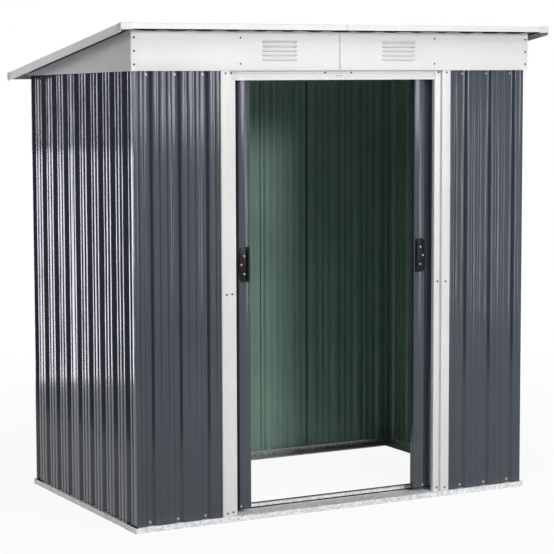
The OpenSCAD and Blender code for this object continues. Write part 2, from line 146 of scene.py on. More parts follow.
def object_space(tree, scale=(1, 1, 1)):
    coordinates = node(tree, "ShaderNodeTexCoord")
    return wire(tree, "ShaderNodeMapping",
                {"Vector": coordinates.outputs["Object"], "Scale": scale})


def noise(tree, vector, scale, detail=2.0, rough=0.5):
    return wire(tree, "ShaderNodeTexNoise",
                {"Vector": vector, "Scale": scale, "Detail": detail, "Roughness": rough})


def ramp(tree, value, stops):
    made = node(tree, "ShaderNodeValToRGB", {0: value})
    colours = made.color_ramp.elements
    while len(colours) < len(stops):
        colours.new(0.5)
    for stop, (place, colour) in zip(colours, stops):
        stop.position = place
        stop.color = (*colour, 1)
    return made.outputs[0]


def spread(tree, value, low, high):
    return wire(tree, "ShaderNodeMapRange", {"Value": value, "To Min": low, "To Max": high})


def bump(tree, height, distance, strength=1.0, under=None):
    inputs = {"Height": height, "Distance": distance, "Strength": strength}
    if under is not None:
        inputs["Normal"] = under
    return wire(tree, "ShaderNodeBump", inputs)


def foot_dust(tree, vector, height):
    """1 at the ground, falling to 0 at height, with a ragged edge."""
    z = node(tree, "ShaderNodeSeparateXYZ", {0: vector}).outputs["Z"]
    rag = noise(tree, vector, 9, 4)
    edge = times(tree, rag, height)
    share = maths(tree, "DIVIDE", maths(tree, "ADD", z, edge), height * 1.5)
    return maths(tree, "SUBTRACT", 1, maths(tree, "MINIMUM", share, 1))


def coated_steel(name, dark, light, gloss, wave, rolled=0.0, run=(1, 1, 0.04)):
    """Coil-coated sheet: an even colour with a faint cloud, orange peel and long shallow waves, and
    where it was rolled, shallow lines of that depth along its run."""
    material, tree, shader = new_material(name)
    place = object_space(tree)
    colour = ramp(tree, noise(tree, place, 3.5, 3), [(0.35, dark), (0.7, light)])
    dust = times(tree, foot_dust(tree, place, 0.05), 0.1)
    dusty = node(tree, "ShaderNodeMix", {0: dust, 6: colour, 7: (0.42, 0.41, 0.39, 1)},
                 data_type="RGBA").outputs[2]
    long_place = object_space(tree, (1, 1, 0.22))
    rough = spread(tree, noise(tree, long_place, 26, 3), gloss - 0.04, gloss + 0.05)
    surface = bump(tree, noise(tree, long_place, 5, 1), wave)
    if rolled:
        surface = bump(tree, noise(tree, object_space(tree, run), 42, 3), rolled, 1, surface)
    peel = bump(tree, noise(tree, place, 900, 2), 0.00004, 0.35, surface)
    set_inputs(tree, shader, {"Base Color": dusty, "Roughness": rough, "Normal": peel,
                              "Specular IOR Level": 0.56})
    return material


def galvanised(name, dark, light, metallic, crystals):
    """Hot-dipped zinc: flat crystals, so many to a metre, each with its own grey."""
    material, tree, shader = new_material(name)
    place = object_space(tree)
    drift = wire(tree, "ShaderNodeVectorMath", {0: noise(tree, place, 60, 2), 1: (0.006,) * 3},
                 operation="MULTIPLY")
    warp = wire(tree, "ShaderNodeVectorMath", {0: place, 1: drift}, operation="ADD")
    cells = node(tree, "ShaderNodeTexVoronoi", {"Vector": warp, "Scale": crystals})
    grey = wire(tree, "ShaderNodeSeparateColor", {0: cells.outputs["Color"]})
    mixed = maths(tree, "ADD", times(tree, grey, 0.75),
                  times(tree, noise(tree, place, 240, 3), 0.25))
    set_inputs(tree, shader, {"Base Color": ramp(tree, mixed, [(0.15, dark), (0.8, light)]),
                              "Roughness": spread(tree, grey, 0.3, 0.55),
                              "Normal": bump(tree, mixed, 0.00012, 0.5), "Metallic": metallic})
    return material


def small_part(name, dark, light, cloud_scale, detail, stops, rough, grain, grain_depth, fixed):
    """A screw's plating or a moulding: a cloudy colour and gloss over a fine grain."""
    material, tree, shader = new_material(name)
    place = object_space(tree)
    cloud = noise(tree, place, cloud_scale, detail)
    set_inputs(tree, shader, {"Base Color": ramp(tree, cloud, list(zip(stops, (dark, light)))),
                              "Roughness": spread(tree, cloud, *rough),
                              "Normal": bump(tree, noise(tree, place, grain, 2), grain_depth, 0.5),
                              **fixed})
    return material


def plated_screw(name, dark, light, metallic):
    return small_part(name, dark, light, 300, 2, (0.3, 0.7), (0.3, 0.48), 1500, 0.00003,
                      {"Metallic": metallic})


def moulded_plastic(name, dark, light):
    return small_part(name, dark, light, 40, 3, (0.3, 0.75), (0.24, 0.38), 1300, 0.00006,
                      {"Specular IOR Level": 0.2})


DARK_GREY, LIGHT_GREY = (0.033, 0.044, 0.058), (0.04, 0.053, 0.069)
anthracite = coated_steel("anthracite_coated_steel", DARK_GREY, LIGHT_GREY, 0.12, 0.0012, 0.001)
roof_anthracite = coated_steel("anthracite_roof_steel", DARK_GREY, LIGHT_GREY, 0.12, 0.0012, 0.001,
                               (1, 0.04, 1))
green_back = coated_steel("green_backing_coat", (0.212, 0.338, 0.278), (0.262, 0.402, 0.33),
                          0.42, 0.001)
white_paint = coated_steel("white_coated_steel", (0.715, 0.715, 0.706), (0.76, 0.76, 0.75),
                           0.33, 0.0004)
zinc = galvanised("spangled_zinc", (0.3, 0.31, 0.32), (0.62, 0.63, 0.64), 0.8, 95)
# A lighter, less metallic copy of the zinc that paints strong light on the sill, the track, the
# corners and the front and side rails
sill_zinc_painted_light = galvanised("spangled_zinc_painted_light", (0.64, 0.645, 0.65), (0.93, 0.935, 0.94), 0.1, 125)
screw_zinc = plated_screw("zinc_plated_screw", (0.34, 0.345, 0.35), (0.54, 0.55, 0.56), 0.8)
dark_screw = plated_screw("dark_plated_screw", (0.035, 0.036, 0.038), (0.07, 0.071, 0.074), 0.5)
white_cap = coated_steel("white_moulded_cap", (0.64, 0.64, 0.63), (0.69, 0.69, 0.68), 0.36, 0.0003)
black_plastic = moulded_plastic(
    "black_moulded_plastic", (0.004, 0.004, 0.005), (0.008, 0.008, 0.009))


# ---- Making pieces ----

def finished(obj, body, slot, *nodes):
    """Puts a piece on its body and stands it for the CAD nodes that it replaces; slot is not used.
    """
    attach(obj, body)
    if nodes:
        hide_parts(*nodes)
    return obj


def link(obj):
    bpy.context.scene.collection.objects.link(obj)
    return obj


def settled(obj, name, place=None):
    """The evaluated shape of obj as a plain mesh at the origin; obj itself is removed."""
    bpy.context.view_layer.update()
    graph = bpy.context.evaluated_depsgraph_get()
    mesh = bpy.data.meshes.new_from_object(obj.evaluated_get(graph), depsgraph=graph)
    data, source = obj.data, bpy.data.curves if obj.type == "CURVE" else bpy.data.meshes
    bpy.data.objects.remove(obj)
    source.remove(data)
    if place is not None:
        mesh.transform(place)
    mesh.name = name
    mesh.polygons.foreach_set("use_smooth", [True] * len(mesh.polygons))
    mesh.set_sharp_from_angle(angle=math.radians(40))
    return link(bpy.data.objects.new(name, mesh))


def skin_object(name, points, faces, material):
    mesh = bpy.data.meshes.new(name)
    mesh.from_pydata(points, [], faces)
    mesh.materials.append(material)
    return link(bpy.data.objects.new(name, mesh))


def bevelled(obj, width, steps=2, angle=25):
    rounding = obj.modifiers.new("Edges", "BEVEL")
    rounding.width = width
    rounding.segments = steps
    rounding.limit_method = "ANGLE"
    rounding.angle_limit = math.radians(angle)
    return obj


def metal_wall(obj, thickness, even):
    """Gives a skin its metal, which lies behind it."""
    wall = obj.modifiers.new("Metal", "SOLIDIFY")
    wall.thickness = thickness
    wall.offset = -1
    wall.use_even_offset = even
    return obj


def folded(name, shape, material, thickness=TRIM_T, bend=TRIM_BEND, steps=3):
    """Sheet metal from its outer skin, (points, faces), with rounded folds and its wall."""
    skin = bevelled(skin_object(name, *shape, material), bend, steps, 20)
    return settled(metal_wall(skin, thickness, True), name)


def folded_piece(node_name, kind, shape, material=white_paint, slot="white_trim", **fold):
    """Sheet metal on the frame that stands for a CAD node and is named after it."""
    piece = folded(f"{node_name}_{kind}", shape, material, **fold)
    return finished(piece, "frame", slot, node_name)


def along_x(corner, x):
    return (x, *corner)


def along_y(corner, y):
    return (corner[0], y, corner[1])


def upright(corner, z):
    return (*corner, z)


def strip(section, start, end, to_point, flip=False, cuts=(0, 1), holes=()):
    """Points and faces of a folded strip. section is a list of corners, start and end say where
    their lines begin and stop, as one number or one for each corner, to_point turns (corner,
    along) into a point, cuts are the shares of the way at which the strip is divided, and holes
    are the (fold, cut) pairs that are left open."""
    starts, ends = (v if isinstance(v, list) else [v] * len(section) for v in (start, end))
    points = [to_point(corner, a + (b - a) * cut)
              for corner, a, b in zip(section, starts, ends) for cut in cuts]
    wide, faces = len(cuts), []
    for i in range(len(section) - 1):
        for j in range(wide - 1):
            a = i * wide + j
            if (i, j) not in holes:
                faces.append((a, a + 1, a + wide + 1, a + wide))
    return points, flipped(faces) if flip else faces


def flipped(faces):
    return [tuple(reversed(f)) for f in faces]


def block(name, low, high, material, round_off):
    points = [(x, y, z) for z in (low[2], high[2])
              for y in (low[1], high[1]) for x in (low[0], high[0])]
    faces = [(0, 2, 3, 1), (4, 5, 7, 6), (0, 1, 5, 4), (2, 6, 7, 3), (0, 4, 6, 2), (1, 3, 7, 5)]
    return settled(bevelled(skin_object(name, points, faces, material), round_off), name)


def black_shade_strip(name, low, high, round_off):
    """A block of black plastic on the frame that paints the shade in a gap, slot or lap."""
    return finished(block(name, low, high, black_plastic, round_off), "frame", "black_plastic")


def loft(name, rings, material, round_off):
    """A closed solid through rings of equally many points, each anticlockwise from its end."""
    count = len(rings[0])
    points = [point for ring in rings for point in ring]
    faces = [tuple(reversed(range(count))),
             tuple(range(len(points) - count, len(points)))]
    for i in range(len(rings) - 1):
        for j in range(count):
            k = (j + 1) % count
            faces.append((i * count + j, i * count + k, (i + 1) * count + k, (i + 1) * count + j))
    obj = skin_object(name, points, faces, material)
    return settled(bevelled(obj, round_off) if round_off else obj, name)


# ---- Geometry Nodes ----

def new_tree(name, *sockets):
    """A geometry tree with named inputs; each socket is (name, kind, default)."""
    tree = bpy.data.node_groups.new(name, "GeometryNodeTree")
    tree.interface.new_socket("Geometry", in_out="INPUT", socket_type="NodeSocketGeometry")
    tree.interface.new_socket("Geometry", in_out="OUTPUT", socket_type="NodeSocketGeometry")
    for socket_name, kind, default in sockets:
        socket = tree.interface.new_socket(
            socket_name, in_out="INPUT", socket_type="NodeSocket" + kind)
        if default is not None:
            socket.default_value = default
    given = tree.nodes.new("NodeGroupInput").outputs
    return tree, given, tree.nodes.new("NodeGroupOutput").inputs[0]


def run_tree(obj, tree, values):
    """Adds the tree to obj and sets its inputs by their identifiers."""
    made = obj.modifiers.new(tree.name, "NODES")
    made.node_group = tree
    identifiers = {s.name: s.identifier for s in tree.interface.items_tree if s.in_out == "INPUT"}
    for name, value in values.items():
        made[identifiers[name]] = value
    obj.update_tag()
    return obj


def place_of(tree):
    """The position's three numbers."""
    position = wire(tree, "GeometryNodeInputPosition")
    return node(tree, "ShaderNodeSeparateXYZ", {0: position}).outputs


def points_in_line(tree, count, first, step):
    return wire(tree, "GeometryNodeMeshLine",
                {"Count": count, "Start Location": first, "Offset": step}, mode="OFFSET")


def on_points(tree, points, piece, **turn):
    """A real copy of piece on every point."""
    copies = wire(tree, "GeometryNodeInstanceOnPoints",
                  {"Points": points, "Instance": piece, **turn})
    return wire(tree, "GeometryNodeRealizeInstances", {0: copies})


def welded(tree, geometry, distance):
    return wire(tree, "GeometryNodeMergeByDistance", {"Geometry": geometry, "Distance": distance})


def painted(tree, geometry, material, faces=None):
    inputs = {"Geometry": geometry, "Material": material}
    if faces is not None:
        inputs["Selection"] = faces
    return wire(tree, "GeometryNodeSetMaterial", inputs)


def joined(tree, *pieces):
    both = tree.nodes.new("GeometryNodeJoinGeometry")
    for piece in pieces:
        tree.links.new(piece, both.inputs[0])
    return both.outputs[0]


def ribbed_sheet_tree():
    """One pitch of the rolled section, repeated, cut to the sheet's ends, raised to its height in
    rows, and
    given its metal: a painted outside, a backing coat inside and cut edges in the outside's paint."""
    tree, given, result = new_tree(
        "Ribbed sheet", ("Pitch", "Float", PITCH), ("Pitches", "Int", 3),
        ("First groove", "Float", 0), ("Start", "Float", 0), ("End", "Float", 1),
        ("Height at start", "Float", 1), ("Height at end", "Float", 1),
        ("Rows", "Int", SHEET_ROWS), ("Bend radius", "Float", SHEET_BEND),
        ("Thickness", "Float", SHEET_T), ("Wave", "Float", WALL_WAVE), ("Seed", "Float", 0),
        ("Outside", "Material", None), ("Inside", "Material", None))
    rounded = wire(tree, "GeometryNodeFilletCurve",
                   {"Curve": given["Geometry"], "Radius": given["Bend radius"],
                    "Limit Radius": True, "Count": 2}, mode="POLY")
    section = wire(tree, "GeometryNodeCurveToMesh", {"Curve": rounded})
    places = points_in_line(tree, given["Pitches"], xyz(tree, X=given["First groove"]),
                            xyz(tree, X=given["Pitch"]))
    whole = welded(tree, on_points(tree, places, section), WELD)

    # Cut to the ends: what lies past an end is drawn in to it, at the face of the sheet
    at = place_of(tree)
    held = maths(tree, "MINIMUM", maths(tree, "MAXIMUM", at["X"], given["Start"]), given["End"])
    moved = maths(tree, "COMPARE", held, at["X"], 0.00001)
    # and a shallow channel next to an end is left flat
    to_end = maths(tree, "MINIMUM", maths(tree, "SUBTRACT", at["X"], given["Start"]),
                   maths(tree, "SUBTRACT", given["End"], at["X"]))
    shallow = maths(tree, "LESS_THAN", maths(tree, "ABSOLUTE", at["Y"]), CHANNEL_DEPTH * 1.1)
    flat = times(tree, maths(tree, "LESS_THAN", to_end, END_FLAT), shallow)
    depth = times(tree, times(tree, at["Y"], moved), maths(tree, "SUBTRACT", 1, flat))
    cut = wire(tree, "GeometryNodeSetPosition",
               {"Geometry": whole, "Position": xyz(tree, X=held, Y=depth)})

    # Raise the section in rows, each a share of the height
    loop_in = tree.nodes.new("GeometryNodeRepeatInput")
    loop_out = tree.nodes.new("GeometryNodeRepeatOutput")
    loop_in.pair_with_output(loop_out)
    loop_out.repeat_items.new("BOOLEAN", "Top")
    set_inputs(tree, loop_in, {"Iterations": given["Rows"], "Geometry": welded(tree, cut, WELD),
                               "Top": True})
    rise = xyz(tree, Z=maths(tree, "DIVIDE", 1, given["Rows"]))
    grown = node(tree, "GeometryNodeExtrudeMesh",
                 {"Mesh": loop_in.outputs["Geometry"], "Selection": loop_in.outputs["Top"],
                  "Offset": rise, "Offset Scale": 1.0}, mode="EDGES").outputs
    set_inputs(tree, loop_out, {"Geometry": grown["Mesh"], "Top": grown["Top"]})

    # Heights follow the line from one end of the sheet to the other
    spot = place_of(tree)
    along = wire(tree, "ShaderNodeMapRange",
                 {"Value": spot["X"], "From Min": given["Start"], "From Max": given["End"],
                  "To Min": given["Height at start"], "To Max": given["Height at end"]})
    outward = wire(tree, "GeometryNodeFlipFaces", {"Mesh": loop_out.outputs["Geometry"]})
    lifted = xyz(tree, X=spot["X"], Y=spot["Y"], Z=times(tree, spot["Z"], along))
    raised = wire(tree, "GeometryNodeSetPosition", {"Geometry": outward, "Position": lifted})

    # Rolled sheet is never quite flat: long waves that fade out at its top and foot
    fade = times(tree, times(tree, spot["Z"], 4), maths(tree, "SUBTRACT", 1, spot["Z"]))
    stretch = wire(tree, "ShaderNodeVectorMath",
                   {0: wire(tree, "GeometryNodeInputPosition"), 1: (2.4, 1, 0.8)},
                   operation="MULTIPLY")
    wave = wire(tree, "ShaderNodeTexNoise", {"Vector": stretch, "W": given["Seed"], "Scale": 3.2,
                                             "Detail": 1.0}, noise_dimensions="4D")
    swing = times(tree, times(tree, maths(tree, "SUBTRACT", wave, 0.5), 2),
                  times(tree, fade, given["Wave"]))
    push = xyz(tree, Y=maths(tree, "MAXIMUM", swing, 0))
    wavy = wire(tree, "GeometryNodeSetPosition", {"Geometry": raised, "Offset": push})

    # The skin, its back a thickness behind it, and the cut edges between them
    back = node(tree, "GeometryNodeExtrudeMesh",
                {"Mesh": wavy, "Offset Scale": times(tree, given["Thickness"], -1),
                 "Individual": False}, mode="FACES").outputs
    edges = painted(tree, back["Mesh"], given["Outside"])
    inside = painted(tree, edges, given["Inside"], back["Top"])
    skin = painted(tree, wavy, given["Outside"])
    sheet = joined(tree, wire(tree, "GeometryNodeFlipFaces", {"Mesh": inside}), skin)
    link_or_set(tree, result, welded(tree, sheet, 0.00002))
    return tree


ribbed_tree = ribbed_sheet_tree()


def channel(start):
    """Corners of a shallow channel: (along, depth)."""
    return [(start, 0), (start + CHANNEL_SLOPE, CHANNEL_DEPTH),
            (start + CHANNEL_W - CHANNEL_SLOPE, CHANNEL_DEPTH), (start + CHANNEL_W, 0)]


def pitch_section(sign):
    """Corners of one pitch, from mid groove to the middle of the next: (along, depth)."""
    half_floor, half_groove = GROOVE_FLOOR / 2, GROOVE_W / 2
    corners = [(0, GROOVE_DEPTH), (half_floor, GROOVE_DEPTH), (half_groove, 0)]
    for start in (half_groove + CHANNEL_IN, PITCH - half_groove - CHANNEL_IN - CHANNEL_W):
        corners += channel(start)
    corners += [(PITCH - half_groove, 0), (PITCH - half_floor, GROOVE_DEPTH), (PITCH, GROOVE_DEPTH)]
    return [(along, depth * sign, 0) for along, depth in corners]


def open_curve(name, corners):
    data = bpy.data.curves.new(name, "CURVE")
    data.dimensions = "3D"
    spline = data.splines.new("POLY")
    spline.points.add(len(corners) - 1)
    for point, corner in zip(spline.points, corners):
        point.co = (*corner, 1)
    return link(bpy.data.objects.new(name, data))


def ribbed(name, corners, place, seed, heights, pitch=PITCH, pitches=1, first=0.0, ends=(-2.0, 2.0),
           outside=anthracite, inside=green_back, wave=WALL_WAVE):
    """Rolls one pitch of section into a sheet and puts it in its place."""
    obj = run_tree(open_curve(name, corners), ribbed_tree, {
        "Pitch": pitch, "Pitches": pitches, "First groove": first, "Start": ends[0], "End": ends[1],
        "Height at start": heights[0], "Height at end": heights[1], "Rows": SHEET_ROWS,
        "Bend radius": SHEET_BEND, "Thickness": SHEET_T, "Wave": wave, "Seed": float(seed),
        "Outside": outside, "Inside": inside})
    return settled(obj, name, place)


def ribbed_sheet(name, start, end, groove, heights, place, seed, sign=1, **finish):
    """A rolled sheet from start to end along its own X, its face at Y 0 and its metal behind it;
    groove is the place of any groove's middle, and place is where the sheet goes."""
    first = groove - math.ceil((groove - start) / PITCH) * PITCH
    return ribbed(name, pitch_section(sign), place, seed, heights, PITCH,
                  math.ceil((end - first) / PITCH), first, (start, end), **finish)


# ---- Walls ----

def side_wall_top(y):
    """Height of the side walls' top edge, a little above the lower edge of the side fascia."""
    low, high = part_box("side_fascia_right")
    return EAVE_Z + (y - low.y) * (low.z - EAVE_Z) / (high.y - low.y) + 5 * MM


def wall_sheets():
    """A rolled sheet for each plain one, with its face outwards and its grooves on one grid."""
    names = [f"front_wall_{side}" for _, side in SIDES]
    names += [f"back_wall_{side}_sheet" for _, side in SIDES]
    names += [f"{side}_wall_{part}_sheet" for _, side in SIDES for part in ("front", "back")]
    groove = WALL_FRONT_Y + FRONT_FLAT
    for seed, name in enumerate(names):
        low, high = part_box(name)
        wall = name.split("_")[0]
        # where its face lies, its turn, its ends, a groove, and where its ends' heights are read
        face, turn, ends, middle, read = {
            "front": ((0, low.y), 0, (low.x, high.x), 0, ()),
            "back": ((0, high.y), math.pi, (-high.x, -low.x), 0, ()),
            "right": ((high.x, 0), math.pi / 2, (low.y, high.y), groove, (low.y, high.y)),
            "left": ((low.x, 0), -math.pi / 2, (-high.y, -low.y), -groove, (high.y, low.y))}[wall]
        heights = [side_wall_top(y) - low.z for y in read] or [high.z - low.z] * 2
        place = Matrix.Translation((*face, low.z)) @ Matrix.Rotation(turn, 4, "Z")
        piece = f"{name}_sheet" if wall == "front" else f"{name}_ribbed"
        finished(ribbed_sheet(piece, *ends, middle, heights, place, seed),
                 "frame", "wall_sheet", name)


# Black strips inside the back wall paint the shadow lines of its laps
LAP_SHADOW_X = (187 * MM, 411 * MM)  # the laps' strips inside the back wall


def paint_lap_shadows_on_back_wall():
    """Black strips along the laps inside the back wall, which paint the laps' shadow lines."""
    low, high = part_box("back_wall_right_sheet")
    face = WALL_BACK_Y - SHEET_T
    for (_, label), x in zip(SIDES, LAP_SHADOW_X):
        black_shade_strip(f"back_wall_lap_{label}", (x - 2.5 * MM, face - 0.8 * MM, low.z + 30 * MM),
                    (x + 2.5 * MM, face + 0.5 * MM, high.z - 30 * MM), 0.2 * MM)


wall_sheets()
paint_lap_shadows_on_back_wall()


# ---- Roof ----

# Thickness of what lies over the ribs: cap, its play, trim, its play
ROOF_STACK = (1 + 0.2 + 1.2 + 0.3) * MM
SHEET_END = 8 * MM            # from the roof's edge to the end of the roof sheets
ROOF_FLANGE = 30 * MM         # flange of an edge trim on the ribs
TRIM_UNDER_CAP = 1.2 * MM
# A black strip under the roof's front edge paints the shadow gap there
SHADOW_STRIP_END_X = 826 * MM
SHADOW_STRIP_T = 1.6 * MM
SHADOW_STRIP_THIN = 2.4            # millimetres of the black strip's painted shadow that show between the ribs
SHADOW_STRIP_SWELL = 3.4           # and how many more at a rib
SHADOW_STRIP_RINGS = 240


def roof_sheets():
    """Ribbed sheets that lie along the fall of the roof, under its trims."""
    tilt = math.atan(SLOPE)
    cos, sin = math.cos(tilt), math.sin(tilt)
    down_slope, into_roof = Vector((0, cos, -sin)), Vector((0, -sin, -cos))
    length = (cad_high.y - cad_low.y) / cos - 2 * SHEET_END
    depth = ROOF_STACK * cos + GROOVE_DEPTH
    start = Vector((0, cad_low.y, cad_high.z)) + down_slope * SHEET_END + into_roof * depth
    place = Matrix(((1, 0, 0, start.x), (0, into_roof.y, down_slope.y, start.y),
                    (0, into_roof.z, down_slope.z, start.z), (0, 0, 0, 1)))
    for seed, side in enumerate(("left", "middle", "right")):
        name = f"roof_sheet_{side}"
        low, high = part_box(name)
        finished(ribbed_sheet(f"{name}_ribbed", low.x, high.x, 0, (length, length), place, seed + 8,
                              sign=-1, outside=roof_anthracite, inside=roof_anthracite, wave=0),
                 "frame", "roof_sheet", name)


def roof_trims():
    """Angles round the roof: a face that hangs from the edge and a flange on the ribs."""
    def drop(y):
        return roof_top(y) - TRIM_UNDER_CAP

    for name in ("roof_trim_front_left", "roof_trim_front_right", "roof_trim_back"):
        low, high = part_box(name)
        back = name.endswith("back")
        edge, inner = (high.y, high.y - ROOF_FLANGE) if back else (low.y, low.y + ROOF_FLANGE)
        right_end = high.x - (1.5 * MM if name.endswith("front_left") else 0)
        section = [(edge, low.z), (edge, drop(edge)), (inner, drop(inner))]
        folded_piece(name, "angle", strip(section, low.x, right_end, along_x, back))
    for side, label in SIDES:
        name = f"roof_trim_{label}"
        low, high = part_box(name)
        edge = (low, high)[side > 0].x
        face = high.z - low.z - (high.y - low.y) * SLOPE
        section = [(edge, -face), (edge, 0), (edge - side * ROOF_FLANGE, 0)]
        folded_piece(name, "angle", strip(section, low.y, high.y,
                                          lambda c, y: (c[0], y, drop(y) + c[1]), side < 0))


def roof_caps():
    """A cap over each corner: a top, an outer side and an end, with generous round edges."""
    for side, label in SIDES:
        for fore, end in ((-1, "front"), (1, "back")):
            name = f"roof_cap_{end}_{label}"
            low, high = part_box(name)
            x_out, x_in = (high.x, low.x) if side > 0 else (low.x, high.x)
            y_out, y_in = (low.y, high.y) if fore < 0 else (high.y, low.y)
            height = high.z - low.z - abs(y_out - y_in) * SLOPE
            spots = [(x_out, y_out), (x_in, y_out), (x_in, y_in), (x_out, y_in)]
            points = [(x, y, roof_top(y)) for x, y in spots]
            points += [(x, y, roof_top(y) - height) for x, y in (spots[0], spots[1], spots[3])]
            faces = [(0, 1, 2, 3), (0, 4, 5, 1), (0, 3, 6, 4)]
            shape = points, flipped(faces) if side * fore < 0 else faces
            folded_piece(name, "moulding", shape, white_cap, thickness=1 * MM, bend=4 * MM, steps=4)


def roof_edge_shadow_strip():
    """Black strip in the roof ribs over the fascia that paints the shadow gap under the roof's
    edge: a dark line, thicker at the ribs.
    """
    trim_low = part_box("roof_trim_front_left")[0].z
    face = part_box("front_fascia_left")[0].y
    front, back = face - SHADOW_STRIP_T, face - 0.1 * MM
    rings = []
    for i in range(SHADOW_STRIP_RINGS + 1):
        x = SHADOW_STRIP_END_X * (2 * i / SHADOW_STRIP_RINGS - 1)
        rib = math.sin(2 * math.pi * (x / PITCH + 0.25)) + 0.5 * math.sin(x * 9 + 1.2)
        shown = (SHADOW_STRIP_THIN + SHADOW_STRIP_SWELL / (1 + math.exp(-4 * rib))) * MM
        low, high = trim_low - shown, trim_low + 8 * MM
        rings.append([(x, front, low), (x, back, low), (x, back, high), (x, front, high)])
    finished(loft("roof_closure_front", rings, black_plastic, 0), "frame", "black_plastic")


roof_sheets()
roof_trims()
roof_caps()
roof_edge_shadow_strip()


# ---- Fascia ----

VENT_X = 252.5 * MM
VENT_W = 149 * MM
VENT_END = 5 * MM
VENT_RISE = 37.6 * MM
VENT_PITCH = 15.6 * MM
VENT_COUNT = 5
SLOT_H = 3.5 * MM
HOOD_H = 8.5 * MM
HOOD_OUT = 4.5 * MM
FASCIA_T = 1 * MM
FASCIA_FLANGE = 24 * MM
BOARD_PANELS = 16             # parts that a front board is divided into along its length
BOARD_JOINT = 2 * MM


def fascia_seat(y):
    """Height of the underside of the roof ribs' flats, where the fascia's flanges lie."""
    low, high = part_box("front_fascia_left")
    return high.z - (y - low.y) * SLOPE


def front_fascias():
    """Boards with a bent foot and a flange under the roof, cut through behind the vents' hoods."""
    for side, label in SIDES:
        name = f"front_fascia_{label}"
        low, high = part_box(name)
        flange_y = low.y + FASCIA_FLANGE
        slots = [low.z + VENT_RISE + i * VENT_PITCH for i in range(VENT_COUNT)]
        edges = [z for slot in slots for z in (slot, slot + SLOT_H)]
        levels = [low.z, *edges, fascia_seat(low.y)]
        section = [(WALL_FRONT_Y, low.z)] + [(low.y, z) for z in levels]
        section.append((flange_y, fascia_seat(flange_y)))
        vent = [side * VENT_X + s * (VENT_W / 2 - VENT_END) for s in (-1, 1)]
        right_end = high.x - (BOARD_JOINT if side < 0 else 0)
        width = high.x - low.x
        even = [low.x + width * i / BOARD_PANELS for i in range(1, BOARD_PANELS)]
        clear = [x for x in even if min(abs(x - v) for v in vent) >= 6 * MM]
        marks = sorted([low.x, right_end, *vent] + clear)
        holes = {(2 + 2 * k, j) for k in range(VENT_COUNT) for j in range(len(marks) - 1)
                 if vent[0] <= (marks[j] + marks[j + 1]) / 2 <= vent[1]}
        shape = strip(section, low.x, high.x, along_x, False, [(x - low.x) / width for x in marks],
                      holes)
        folded_piece(name, "board", shape, thickness=FASCIA_T, bend=1.8 * MM)
    # a black strip behind the gap between the two boards, which paints the shadow line of their
    # joint
    low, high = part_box("front_fascia_left")
    black_shade_strip("fascia_joint_shadow_strip", (-8 * MM, low.y + 1.1 * MM, low.z + 2 * MM),
                (6 * MM, low.y + 1.8 * MM, high.z - 4 * MM), 0.1 * MM)


def side_fascias():
    """Tapering boards with an end that wraps round the front corner and a flange under the roof."""
    for side, label in SIDES:
        name = f"side_fascia_{label}"
        low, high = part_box(name)
        out = (low, high)[side > 0].x
        wrap = out - side * 20 * MM
        front, back = low.y, high.y
        fold, flange_end = front + 2 * MM, back - 12.4 * MM
        points = [(out, front, EAVE_Z), (out, front, fascia_seat(front)),
                  (out, back, fascia_seat(back)), (out, back, low.z),
                  (wrap, front, EAVE_Z), (wrap, front, fascia_seat(front)),
                  (wrap, fold, fascia_seat(fold)), (out, fold, fascia_seat(fold)),
                  (out, flange_end, fascia_seat(flange_end)),
                  (wrap, flange_end, fascia_seat(flange_end))]
        faces = [(0, 3, 2, 8, 7, 1), (0, 1, 5, 4), (7, 8, 9, 6)]
        shape = points, flipped(faces) if side < 0 else faces
        folded_piece(name, "board", shape, thickness=FASCIA_T, bend=1.6 * MM)


def louvre_tree():
    """One pressed hood, repeated up the vent."""
    tree, given, result = new_tree(
        "Louvres", ("Count", "Int", VENT_COUNT), ("Pitch", "Float", VENT_PITCH),
        ("First", "Vector", None), ("Material", "Material", None))
    rows = points_in_line(tree, given["Count"], given["First"], xyz(tree, Z=given["Pitch"]))
    hoods = on_points(tree, rows, given["Geometry"])
    link_or_set(tree, result, painted(tree, hoods, given["Material"]))
    return tree


def hood_point(across, down):
    """A point of a hood, across from -1 to 1 and down from 0 at its top to 1 at its lip."""
    taper = 1 - max(0, (abs(across) - 0.86) / 0.14) ** 2
    swell = math.sin(down * math.pi / 2) ** 1.5
    return (across * VENT_W / 2, -HOOD_OUT * swell * taper - 0.02 * MM,
            HOOD_H * (1 - down) + 1.2 * MM * abs(across) ** 6 * down)


def louvres():
    tree = louvre_tree()
    columns, rows = 48, 10
    points = [hood_point(2 * i / columns - 1, j / rows) for j in range(rows + 1)
              for i in range(columns + 1)]
    wide = columns + 1
    faces = [(j * wide + i, (j + 1) * wide + i, (j + 1) * wide + i + 1, j * wide + i + 1)
             for j in range(rows) for i in range(columns)]
    for side, label in SIDES:
        name = f"vent_louvres_{label}"
        obj = run_tree(skin_object(name, points, faces, white_paint), tree, {
            "Count": VENT_COUNT, "Pitch": VENT_PITCH, "Material": white_paint,
            "First": (side * VENT_X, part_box("front_fascia_left")[0].y,
                      EAVE_Z + VENT_RISE + 1.2 * MM)})
        finished(settled(metal_wall(obj, 0.7 * MM, False), name), "frame", "white_trim")


front_fascias()
side_fascias()
louvres()


# ---- Door frame ----

JAMB_INNER_W = 26.5 * MM      # width of a jamb's recessed inner face
JAMB_RECESS = 5 * MM          # how far that face lies behind the wall


